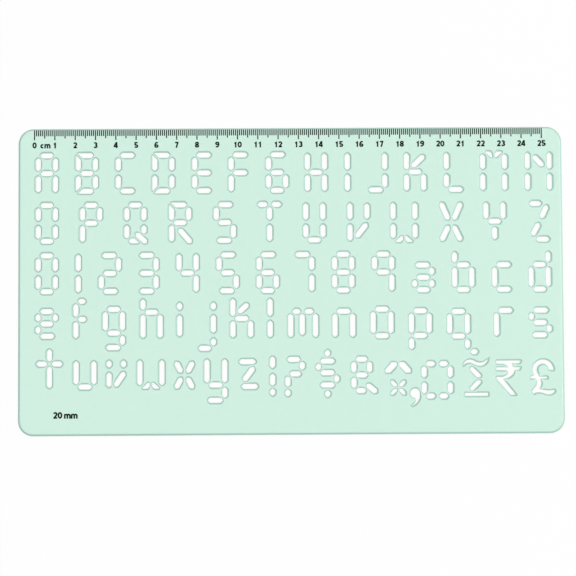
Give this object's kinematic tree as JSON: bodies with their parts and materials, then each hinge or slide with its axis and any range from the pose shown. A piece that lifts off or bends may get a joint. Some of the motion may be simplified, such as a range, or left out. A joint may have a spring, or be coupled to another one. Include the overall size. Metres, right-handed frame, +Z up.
{
  "type": "lettering stencil",
  "caption": "Flat see-through lettering stencil with rounded corners, pen slots for letters, figures and signs, and a centimetre ruler printed along one edge.",
  "frame": {"origin": "centre of the sheet's underside", "axes": "+X along the ruler towards its high end, +Y towards the ruler edge, +Z up out of the printed face"},
  "size_m": [0.268, 0.151, 0.0012],
  "materials": {
    "tinted_plastic": "clear green-tinted polystyrene or PVC sheet with a fine satin on both faces and frosted cut edges",
    "printed_ink": "thin black-green screen-printed ink"
  },
  "bodies": {
    "root": {"stencil_sheet": "tinted_plastic", "millimetre_marks": "printed_ink", "half_centimetre_marks": "printed_ink", "centimetre_marks": "printed_ink", "centimetre_figures": "printed_ink", "unit_sign": "printed_ink", "height_note": "printed_ink"}
  },
  "joints": []
}
